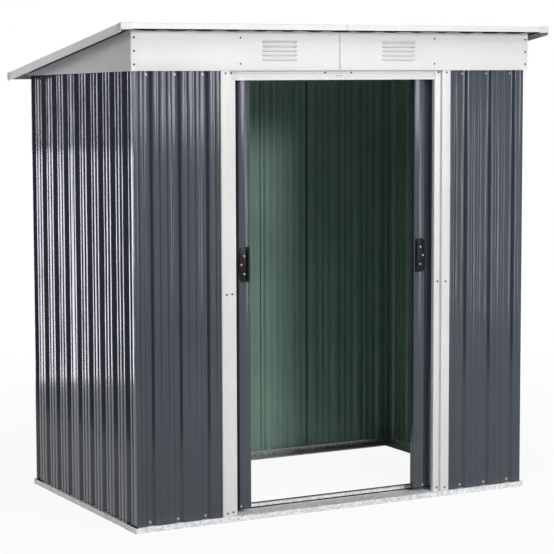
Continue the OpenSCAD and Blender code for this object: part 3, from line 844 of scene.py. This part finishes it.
def door_jambs():
    """A face that stands out past the wall, a recessed one, and a return that lines the doorway."""
    under_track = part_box("door_header")[0].z - 0.4 * MM
    web_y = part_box("door_track_top")[0].y
    for side, label in SIDES:
        name = f"door_jamb_{label}"
        low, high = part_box(name)
        inner, outer = (low.x, high.x) if side > 0 else (high.x, low.x)
        step, recess, top = inner + side * JAMB_INNER_W, WALL_FRONT_Y + JAMB_RECESS, high.z
        corners = [((outer, WALL_FRONT_Y), top), ((outer, low.y), top), ((step, low.y), top),
                   ((step, recess), top), ((inner, recess), top), ((inner, web_y - 1 * MM), top),
                   ((inner, web_y - 0.5 * MM), under_track), ((inner, high.y), under_track),
                   ((inner + side * 10 * MM, high.y), under_track)]
        section, ends = [c for c, _ in corners], [end for _, end in corners]
        folded_piece(name, "folded", strip(section, low.z, ends, upright, side < 0))


def door_header():
    """A channel under the fascia with a shallow step along its face and a small slot in it."""
    low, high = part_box("door_header")
    face, web = low.y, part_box("door_track_top")[0].y
    band, step = EAVE_Z - 24 * MM, face + 2 * MM
    section = [(web, low.z), (face, low.z), (face, band), (step, band + 2 * MM),
               (step, band + 4 * MM), (step, band + 7.5 * MM), (step, band + 13 * MM),
               (face, band + 15 * MM), (face, high.z), (web, high.z)]
    cuts = [0, (-6 * MM - low.x) / (high.x - low.x), (19 * MM - low.x) / (high.x - low.x), 1]
    shape = strip(section, low.x, high.x, along_x, False, cuts, {(4, 1)})
    folded_piece("door_header", "folded", shape, bend=1.2 * MM)


door_jambs()
door_header()


# ---- Base frame ----

UPSTAND_H = 20 * MM
RAIL_H = 20 * MM
RAIL_W = 80 * MM
FOOT_W = 12 * MM
RAIL_IN = 12 * MM             # from the wall's outer face to the upstand behind it
DRAIN_W = 3.5 * MM


def add_upstand(shape, x0, x1, y, flip):
    """Adds the edge that stands up behind a wall, which the wall's bolts go through."""
    points, faces = shape
    base, top = len(points), RAIL_H + UPSTAND_H
    points += [(x0, y, RAIL_H), (x1, y, RAIL_H), (x1, y, top), (x0, y, top)]
    face = tuple(range(base, base + 4))
    faces.append(face[::-1] if flip else face)


def base_rails():
    # front rail: the sill, with its foot running on to the track, two small drain slots beside the
    # left jamb, and an upstand behind each wall
    low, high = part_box("base_rail_front")
    sill_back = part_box("door_track_bottom")[0].y - 6 * MM
    section = [(sill_back, 0), (low.y, 0), (low.y, 5 * MM), (low.y, 12 * MM), (low.y, RAIL_H),
               (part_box("door_header")[0].y, RAIL_H), (sill_back, RAIL_H)]
    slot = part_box("door_jamb_left")[1].x - DRAIN_W
    cuts = [0] + [(x - low.x) / (high.x - low.x) for x in (slot, slot + DRAIN_W)] + [1]
    shape = strip(section, low.x, high.x, along_x, False, cuts, {(2, 1), (4, 1)})
    for side, label in SIDES:
        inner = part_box(f"door_jamb_{label}")[side > 0].x - side * 23 * MM
        x0, x1 = sorted((inner, side * (WALL_X - RAIL_IN)))
        add_upstand(shape, x0, x1, WALL_FRONT_Y + RAIL_IN, False)
    folded_piece("base_rail_front", "folded", shape, sill_zinc_painted_light, "galvanised_rail")
    low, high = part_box("base_rail_back")
    section = [(high.y - FOOT_W, 0), (high.y, 0), (high.y, RAIL_H), (high.y - RAIL_W, RAIL_H)]
    shape = strip(section, low.x, high.x, along_x, True)
    add_upstand(shape, RAIL_IN - WALL_X, WALL_X - RAIL_IN, WALL_BACK_Y - RAIL_IN, True)
    folded_piece("base_rail_back", "folded", shape, zinc, "galvanised_rail")


def base_corners():
    """The front and back rails' returns, which close the frame's corners."""
    front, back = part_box("base_rail_front")[0].y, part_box("base_rail_back")[1].y
    for side, label in SIDES:
        low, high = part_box(f"base_rail_{label}")
        out = (low, high)[side > 0].x
        for end, y0, y1 in (("front", front + 1.4 * MM, low.y + 2 * MM),
                            ("back", high.y - 2 * MM, back - 1.4 * MM)):
            shape = strip([(out, 0), (out, RAIL_H), (out - side * FOOT_W, RAIL_H)], y0, y1, along_y,
                          side < 0)
            finished(folded(f"base_corner_{end}_{label}", shape, sill_zinc_painted_light),
                     "frame", "galvanised_rail")
    # what shows in the drain slots beside the left jamb
    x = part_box("door_jamb_left")[1].x
    black_shade_strip("drain_slot_shade", (x - 7 * MM, front + 1.6 * MM, 2 * MM),
                (x + 3 * MM, front + 18 * MM, RAIL_H - 1.5 * MM), 0.2 * MM)


def bottom_track():
    """A channel that opens downwards, with black strips along its foot and its back edge that paint
    the shade in the slot before it and behind its back edge.
    """
    low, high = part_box("door_track_bottom")
    strip_t, strip_h = 1.2 * MM, 6 * MM
    front, back, top = low.y + strip_t, high.y - strip_t, high.z - 3 * MM
    shape = strip([(front, 0), (front, top), (back, top), (back, 0)], low.x, high.x, along_x)
    folded_piece("door_track_bottom", "folded", shape, sill_zinc_painted_light, "galvanised_rail")
    for place, y, z0, z1 in (("front", low.y, RAIL_H - strip_h / 2, RAIL_H + strip_h / 2),
                             ("back", back, high.z - strip_h, high.z)):
        black_shade_strip(f"door_track_shade_strip_{place}", (low.x, y, z0), (high.x, y + strip_t, z1),
                    0.3 * MM)


base_rails()
base_corners()
bottom_track()


# ---- Doors ----

STILE_W = 47 * MM
DOOR_WAVE = 0.4 * MM


def door_section(low, high, side):
    """Corners of a door, leading fold to trailing fold: (along, depth), side 1 or -1."""
    width, depth = high.x - low.x, high.y - low.y
    corners = [(0, depth), (0, 0)]
    half_floor, half_groove = GROOVE_FLOOR / 2, GROOVE_W / 2
    middle = STILE_W + half_groove
    while middle <= width - half_groove - 8 * MM:
        corners += [(middle - half_groove, 0), (middle - half_floor, GROOVE_DEPTH),
                    (middle + half_floor, GROOVE_DEPTH), (middle + half_groove, 0)]
        for start in (middle + half_groove + CHANNEL_IN,
                      middle + PITCH - half_groove - CHANNEL_IN - CHANNEL_W):
            if start + CHANNEL_W < width - 4 * MM:
                corners += channel(start)
        middle += PITCH
    corners += [(width, 0), (width, depth)]
    if side > 0:
        return [(low.x + along, deep, 0) for along, deep in corners]
    return [(high.x - along, deep, 0) for along, deep in reversed(corners)]


def door_panels():
    for side, label in SIDES:
        name = f"{label}_door_panel"
        low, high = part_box(name)
        panel = ribbed(f"{name}_ribbed", door_section(low, high, side),
                       Matrix.Translation((0, low.y, low.z)), 12.0 + side, [high.z - low.z] * 2,
                       pitch=1.0, wave=DOOR_WAVE)
        finished(panel, f"{label}_door", "door_sheet", name)


HANDLE_PLATE_T = 3 * MM
GRIP_W = 14 * MM
GRIP_RIDGE = 0.7 * MM


def handle_outline(width, height):
    """D-shaped plate: straight along the leading edge, bulging and round-cornered on the other."""
    corner, bulge, steps = 15 * MM, 2.5 * MM, 8
    outline = [(0, 0)]
    for i in range(steps + 1):
        turn = math.pi / 2 * i / steps
        outline.append((width - bulge - corner + corner * math.sin(turn),
                        corner - corner * math.cos(turn)))
    for i in range(1, steps):
        rise = i / steps
        outline.append((width - bulge + bulge * math.sin(rise * math.pi),
                        corner + (height - 2 * corner) * rise))
    for i in range(steps + 1):
        turn = math.pi / 2 * i / steps
        outline.append((width - bulge - corner + corner * math.cos(turn),
                        height - corner + corner * math.sin(turn)))
    return outline + [(0, height)]


def door_handles():
    """A plate that is screwed to the stile, with a ridged grip along its leading edge."""
    for side, label in SIDES:
        low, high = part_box(f"{label}_door_handle")
        lead = (low, high)[side < 0].x
        width, height, out = high.x - low.x, high.z - low.z, high.y - low.y
        outline = handle_outline(width, height)
        if side < 0:
            outline = [(x, z) for x, z in reversed(outline)]
        rings = [[(lead + side * x, y, low.z + z) for x, z in outline]
                 for y in (high.y, high.y - HANDLE_PLATE_T)]
        plate = loft(f"{label}_handle_plate", rings, black_plastic, 0.9 * MM)
        finished(plate, f"{label}_door", "black_plastic", f"{label}_door_handle")
        rings, count = [], 64
        for i in range(count + 1):
            rise = i / count
            z = low.z + 1.5 * MM + (height - 3 * MM) * rise
            end = min(rise, 1 - rise) * height
            swell = min(1, max(0, (end - 2 * MM) / (13 * MM))) ** 0.7
            stand = HANDLE_PLATE_T + (out - HANDLE_PLATE_T) * swell
            ridge = GRIP_RIDGE if i % 2 and end > 18 * MM else 0
            front = high.y - stand + ridge
            foot = high.y - HANDLE_PLATE_T * 0.5
            ring = [(1 * MM, foot), (1 * MM, front + 2 * MM), (3 * MM, front),
                    (GRIP_W - 4 * MM, front), (GRIP_W - 1.5 * MM, front + 2.5 * MM),
                    (GRIP_W, foot)]
            ring = [(lead + side * x, min(y, foot), z) for x, y in ring]
            rings.append(ring if side > 0 else ring[::-1])
        grip = loft(f"{label}_handle_grip", rings, black_plastic, 0)
        finished(grip, f"{label}_door", "black_plastic", f"{label}_door_handle")


door_panels()
door_handles()


# ---- Screws and bolts ----

HEAD_RADIUS = 3.6 * MM


def fastener_tree():
    """A flanged pan head with a cross recess on every point, turned to the point's facing."""
    tree, given, result = new_tree("Fasteners", ("Head radius", "Float", HEAD_RADIUS),
                                   ("Seed", "Int", 1), ("Material", "Material", None))

    def size_of(share):
        return times(tree, given["Head radius"], share)

    def moved(geometry, **change):
        inputs = {name.capitalize(): value for name, value in change.items()}
        return wire(tree, "GeometryNodeTransform", {"Geometry": geometry, **inputs})

    washer = wire(tree, "GeometryNodeMeshCylinder",
                  {"Vertices": 20, "Radius": size_of(1.4), "Depth": 0.9 * MM})
    seated = moved(washer, translation=(0, 0, 0.35 * MM))
    ball = wire(tree, "GeometryNodeMeshUVSphere",
                {"Segments": 20, "Rings": 12, "Radius": given["Head radius"]})
    dome = moved(ball, scale=(1, 1, 0.68))
    arm = xyz(tree, X=size_of(1.1), Y=size_of(0.24), Z=size_of(0.8))
    bar = wire(tree, "GeometryNodeMeshCube", {"Size": arm})
    lift = xyz(tree, Z=size_of(0.78))
    cross = joined(tree, *(moved(bar, translation=lift, rotation=(0, 0, turn))
                           for turn in (0, math.pi / 2)))
    cut = wire(tree, "GeometryNodeMeshBoolean",
               {"Mesh 1": dome, "Mesh 2": cross, "Self Intersection": True},
               operation="DIFFERENCE", solver="EXACT")

    facing = wire(tree, "GeometryNodeInputNamedAttribute", {"Name": "facing"},
                  data_type="FLOAT_VECTOR")
    size = wire(tree, "GeometryNodeInputNamedAttribute", {"Name": "size"}, data_type="FLOAT")
    spin = node(tree, "FunctionNodeRandomValue", {2: 0, 3: 3.1, "Seed": given["Seed"]},
                data_type="FLOAT").outputs[1]
    aimed = wire(tree, "FunctionNodeAlignRotationToVector", {"Vector": facing}, axis="Z")
    turned = wire(tree, "FunctionNodeRotateRotation",
                  {"Rotation": aimed, "Rotate By": xyz(tree, Z=spin)}, rotation_space="LOCAL")
    heads = on_points(tree, given["Geometry"], joined(tree, seated, cut),
                      Rotation=turned, Scale=size)
    link_or_set(tree, result, painted(tree, heads, given["Material"]))
    return tree


fastener_nodes = fastener_tree()


def fasteners(name, body, spots, seed, material=screw_zinc):
    """spots is a list of (place, facing, size)."""
    mesh = bpy.data.meshes.new(name)
    mesh.from_pydata([place for place, _, _ in spots], [], [])
    facing = mesh.attributes.new("facing", "FLOAT_VECTOR", "POINT")
    facing.data.foreach_set("vector", [v for _, way, _ in spots for v in way])
    size = mesh.attributes.new("size", "FLOAT", "POINT")
    size.data.foreach_set("value", [s for _, _, s in spots])
    obj = run_tree(link(bpy.data.objects.new(name, mesh)), fastener_nodes,
                   {"Head radius": HEAD_RADIUS, "Seed": seed, "Material": material})
    finished(settled(obj, name), body, "zinc_screw")


FRONT, BACK, LEFT, RIGHT = (0, -1, 0), (0, 1, 0), (-1, 0, 0), (1, 0, 0)
FOOT_BOLT_Z = 33 * MM
HEAD_BOLT_DROP = 12 * MM      # from the eave to the bolts at the front walls' heads
SIDE_BOLT_DROP = 17 * MM      # from a side wall's top edge to its upper bolts
BACK_BOLT_RISE = 14 * MM      # from the foot of the back top rail to the bolts in it
NUT_IN = 2.2 * MM             # from a bolt's seat in its groove to its nut's inside the wall
BOLT_SIZE = 0.8
# The rest are in millimetres. Front boards: distance from the middle, heights, size of head
BOARD_SCREWS = ((829, (1757, 1710, 1663), 0.8), (412, (1758, 1665), 0.7))
HANDLE_SCREWS = ((22, 30), (34, 64), (22, 96))  # from the plate's lower leading corner
DOOR_FOOT_SCREWS, DOOR_HEAD_SCREWS = (395, 498, 613, 730), (498, 613, 730)


def wall_bolts():
    """Rows of bolts at the foot and the head of each wall, in its grooves, with nuts inside."""
    foot, head = FOOT_BOLT_Z, EAVE_Z - HEAD_BOLT_DROP
    back_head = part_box("top_rail_back")[0].z + BACK_BOLT_RISE
    spots = []
    y = WALL_FRONT_Y + GROOVE_DEPTH
    for k in (5, 6, 7):
        for x in (-k * PITCH, k * PITCH):
            spots += [((x, y, foot), FRONT, 1), ((x, y, head), FRONT, 0.75)]
            spots.append(((x, y + NUT_IN, foot), BACK, BOLT_SIZE))
    for k in range(-7, 8):
        x, y = k * PITCH, WALL_BACK_Y - GROOVE_DEPTH
        spots += [((x, y, z), BACK, BOLT_SIZE) for z in (foot, back_head)]
        spots += [((x, y - NUT_IN, z), FRONT, BOLT_SIZE) for z in (foot, back_head)]
    for k in range(8):
        y = WALL_FRONT_Y + FRONT_FLAT + k * PITCH
        for side, way, inward in ((-1, LEFT, RIGHT), (1, RIGHT, LEFT)):
            x = side * (WALL_X - GROOVE_DEPTH)
            top = side_wall_top(y) - SIDE_BOLT_DROP
            spots += [((x, y, z), way, BOLT_SIZE) for z in (foot, top)]
            spots += [((x - side * NUT_IN, y, z), inward, BOLT_SIZE) for z in (foot, top)]
    fasteners("wall_bolts", "frame", spots, 3)


def trim_screws():
    """Dark screws in the jambs, the header and the front boards of the fascia."""
    recess, proud = WALL_FRONT_Y + JAMB_RECESS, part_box("door_jamb_left")[0].y
    spots = [((side * x, y, z), FRONT, 0.75) for side, _ in SIDES
             for z in (34 * MM, 836 * MM, EAVE_Z - 8 * MM)
             for x, y in ((441.5 * MM, recess), (470 * MM, proud))]
    spots += [((x, recess, EAVE_Z - 7 * MM), FRONT, 0.75) for x in (-54 * MM, 57 * MM)]
    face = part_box("front_fascia_left")[0].y
    for x, heights, size in BOARD_SCREWS:
        spots += [((side * x * MM, face, z * MM), FRONT, size)
                  for side, _ in SIDES for z in heights]
    fasteners("trim_screws", "frame", spots, 5, dark_screw)


def roof_screws():
    """Screws through the roof's ribs, over the front fascia, the beam and the back wall."""
    tilt = math.atan(SLOPE)
    way = (0, math.sin(tilt), math.cos(tilt))
    spots = []
    for k in range(-7, 8):
        x = (k + 0.5) * PITCH
        for y in (WALL_FRONT_Y + 2 * MM, 0, WALL_BACK_Y - 6 * MM):
            if abs(x) < WALL_X:
                spots.append(((x, y, roof_top(y) - ROOF_STACK / math.cos(tilt)), way, 1.0))
    fasteners("roof_screws", "frame", spots, 7)


def door_screws():
    """Screws that hold each handle's plate, and the guide and hanger behind each door."""
    for side, label in SIDES:
        low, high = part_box(f"{label}_door_handle")
        plate, lead = high.y - HANDLE_PLATE_T, (low, high)[side < 0].x
        spots = [((lead + side * (x * MM), plate, low.z + z * MM), FRONT, 0.72)
                 for x, z in HANDLE_SCREWS]
        low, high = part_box(f"{label}_door_panel")
        for z, places in ((low.z + 9 * MM, DOOR_FOOT_SCREWS), (high.z - 12 * MM, DOOR_HEAD_SCREWS)):
            spots += [((side * x * MM, low.y, z), FRONT, 0.8) for x in places]
        fasteners(f"{label}_door_screws", f"{label}_door", spots, 9 + side)


wall_bolts()
trim_screws()
roof_screws()
door_screws()


# ---- Stage ----

def pale_floor():
    """White where the floor is seen directly or in metal; near the object it keeps its shadow."""
    material = bpy.data.materials.new("pale_floor")
    material.use_nodes = True
    tree = material.node_tree
    tree.nodes.clear()
    path = node(tree, "ShaderNodeLightPath").outputs
    seen = maths(tree, "MAXIMUM", path["Is Camera Ray"], path["Is Glossy Ray"])
    seen = maths(tree, "MAXIMUM", seen, path["Is Transmission Ray"])
    place = node(tree, "ShaderNodeTexCoord").outputs["Object"]
    away = node(tree, "ShaderNodeVectorMath", {0: place}, operation="LENGTH").outputs["Value"]
    share = wire(tree, "ShaderNodeMapRange", {"Value": away, "From Min": 1.2, "From Max": 4.0,
                                              "To Min": 0.93, "To Max": 1.0})
    diffuse = wire(tree, "ShaderNodeBsdfDiffuse", {"Color": (0.82, 0.82, 0.82, 1)})
    glow = wire(tree, "ShaderNodeEmission", {"Color": (1, 1, 1, 1), "Strength": 1.0})
    mixed = wire(tree, "ShaderNodeMixShader",
                 {0: times(tree, seen, share), 1: diffuse, 2: glow})
    output = tree.nodes.new("ShaderNodeOutputMaterial")
    tree.links.new(mixed, output.inputs[0])
    return material


def studio_world():
    """White behind the object, plain grey for its light, and darker for reflections."""
    world = bpy.data.worlds.new("studio")
    bpy.context.scene.world = world
    world.use_nodes = True
    tree = world.node_tree
    tree.nodes.clear()
    path = node(tree, "ShaderNodeLightPath").outputs
    up = node(tree, "ShaderNodeSeparateXYZ",
              {0: node(tree, "ShaderNodeTexCoord").outputs["Generated"]}).outputs["Z"]
    mirrored = ramp(tree, up, [
        (0.0, (1, 1, 1)), (0.03, (0.5, 0.49, 0.55)), (0.12, (0.16, 0.16, 0.2)),
        (0.5, (0.3, 0.3, 0.32)), (1.0, (0.6, 0.6, 0.6))])
    room = node(tree, "ShaderNodeBackground", {"Color": (1, 1, 1, 1), "Strength": 0.1})
    sheen = wire(tree, "ShaderNodeBackground", {"Color": mirrored, "Strength": 1.0})
    white = wire(tree, "ShaderNodeBackground", {"Color": (1, 1, 1, 1), "Strength": 1.0})
    glossy = wire(tree, "ShaderNodeMixShader",
                  {0: maths(tree, "MAXIMUM", path["Is Glossy Ray"], path["Is Transmission Ray"]),
                   1: room.outputs[0], 2: sheen})
    mixed = wire(tree, "ShaderNodeMixShader",
                 {0: path["Is Camera Ray"], 1: glossy, 2: white})
    output = tree.nodes.new("ShaderNodeOutputWorld")
    tree.links.new(mixed, output.inputs[0])


def studio():
    bpy.context.scene.view_settings.view_transform = "Standard"
    floor_size = 60
    mesh = bpy.data.meshes.new("studio_floor")
    corners = [(-1, -1), (1, -1), (1, 1), (-1, 1)]
    mesh.from_pydata([(x * floor_size, y * floor_size, 0) for x, y in corners], [], [(0, 1, 2, 3)])
    mesh.materials.append(pale_floor())
    link(bpy.data.objects.new("studio_floor", mesh))
    studio_world()
    # name: place, aim, width, height, watts, colour
    white, lavender = (1, 1, 1), (0.93, 0.9, 1)
    lamps = {
        "key_softbox": ((0.65, -5.6, 2.9), (0.1, -0.3, 1.0), 1.0, 1.0, 118, white),
        "right_softbox": ((2.12, -5.3, 2.05), (0.0, -0.4, 1.2), 1.25, 1.6, 42, lavender),
        "low_strip": ((3.5, -5.3, 0.68), (0.4, -0.4, 0.68), 0.55, 1.3, 9, (1, 0.95, 0.96)),
        "left_fill": ((-4.2, -0.9, 2.2), (-0.83, 0.0, 1.3), 1.6, 1.6, 32, white),
        "back_panel": ((-1.83, 2.93, 0.62), (-0.83, 0.0, 0.62), 0.6, 1.24, 14.5, lavender),
        "back_panel_top": ((-1.85, 2.92, 1.85), (-0.83, 0.0, 1.2), 0.34, 1.2, 6, lavender),
        "top_softbox": ((0.3, -3.2, 4.6), (0, -0.5, 0.0), 2.4, 2.4, 70, white),
    }
    for name, (place, aim, wide, tall, watts, colour) in lamps.items():
        data = bpy.data.lights.new(name, "AREA")
        data.shape = "RECTANGLE"
        data.size, data.size_y = wide, tall
        data.energy = watts
        data.color = colour
        lamp = link(bpy.data.objects.new(name, data))
        lamp.location = place
        lamp.rotation_euler = (Vector(aim) - Vector(place)).to_track_quat("-Z", "Y").to_euler()
    # Dark cards stand out of sight, where glossy steel would mirror the pale room
    dark_card("card_left", (-2.3, -5.6), (-2.3, 1.6), 3.2)
    dark_card("card_behind", (-3.6, 2.2), (-0.5, 4.0), 3.2)


def dark_card(name, start, end, height):
    material = bpy.data.materials.get("dark_card")
    if material is None:
        material, _, shader = new_material("dark_card")
        shader.inputs["Base Color"].default_value = (0.02, 0.02, 0.024, 1)
        shader.inputs["Roughness"].default_value = 1
        shader.inputs["Emission Color"].default_value = (0.11, 0.105, 0.13, 1)
        shader.inputs["Emission Strength"].default_value = 1
    points = [(*start, 0), (*end, 0), (*end, height), (*start, height)]
    card = skin_object(name, points, [(0, 1, 2, 3)], material)
    card.visible_camera = card.visible_diffuse = card.visible_shadow = False


def make_camera():
    data = bpy.data.cameras.new("camera")
    data.sensor_width = 36
    view_width, focal_length = 554, 1935        # in one unit
    data.lens = focal_length / view_width * data.sensor_width
    data.shift_x = 0.029
    data.shift_y = -0.025
    yaw, pitch, roll = 0.4876, 0.0965, -0.0039
    camera = link(bpy.data.objects.new("camera", data))
    camera.location = (-3.6085, -6.677, 1.622)
    forward = Vector((math.sin(yaw) * math.cos(pitch), math.cos(yaw) * math.cos(pitch),
                      -math.sin(pitch)))
    turn = forward.to_track_quat("-Z", "Y").to_matrix().to_4x4() @ Matrix.Rotation(roll, 4, "Z")
    camera.rotation_euler = turn.to_euler()
    data.clip_start, data.clip_end = 0.1, 200
    bpy.context.scene.camera = camera


make_camera()
studio()

slots = {"wall_sheet": anthracite, "roof_sheet": roof_anthracite, "door_sheet": anthracite,
         "white_trim": white_paint, "galvanised_rail": zinc, "black_plastic": black_plastic}
for part in frame["record"]["subparts"]:
    obj = frame["nodes"][part["node"]]
    obj.data.materials.clear()
    # the side rails take the lighter zinc copy that paints light on them
    is_side_rail = part["node"] in ("base_rail_left", "base_rail_right")
    obj.data.materials.append(sill_zinc_painted_light if is_side_rail else slots[part["material_slot"]])
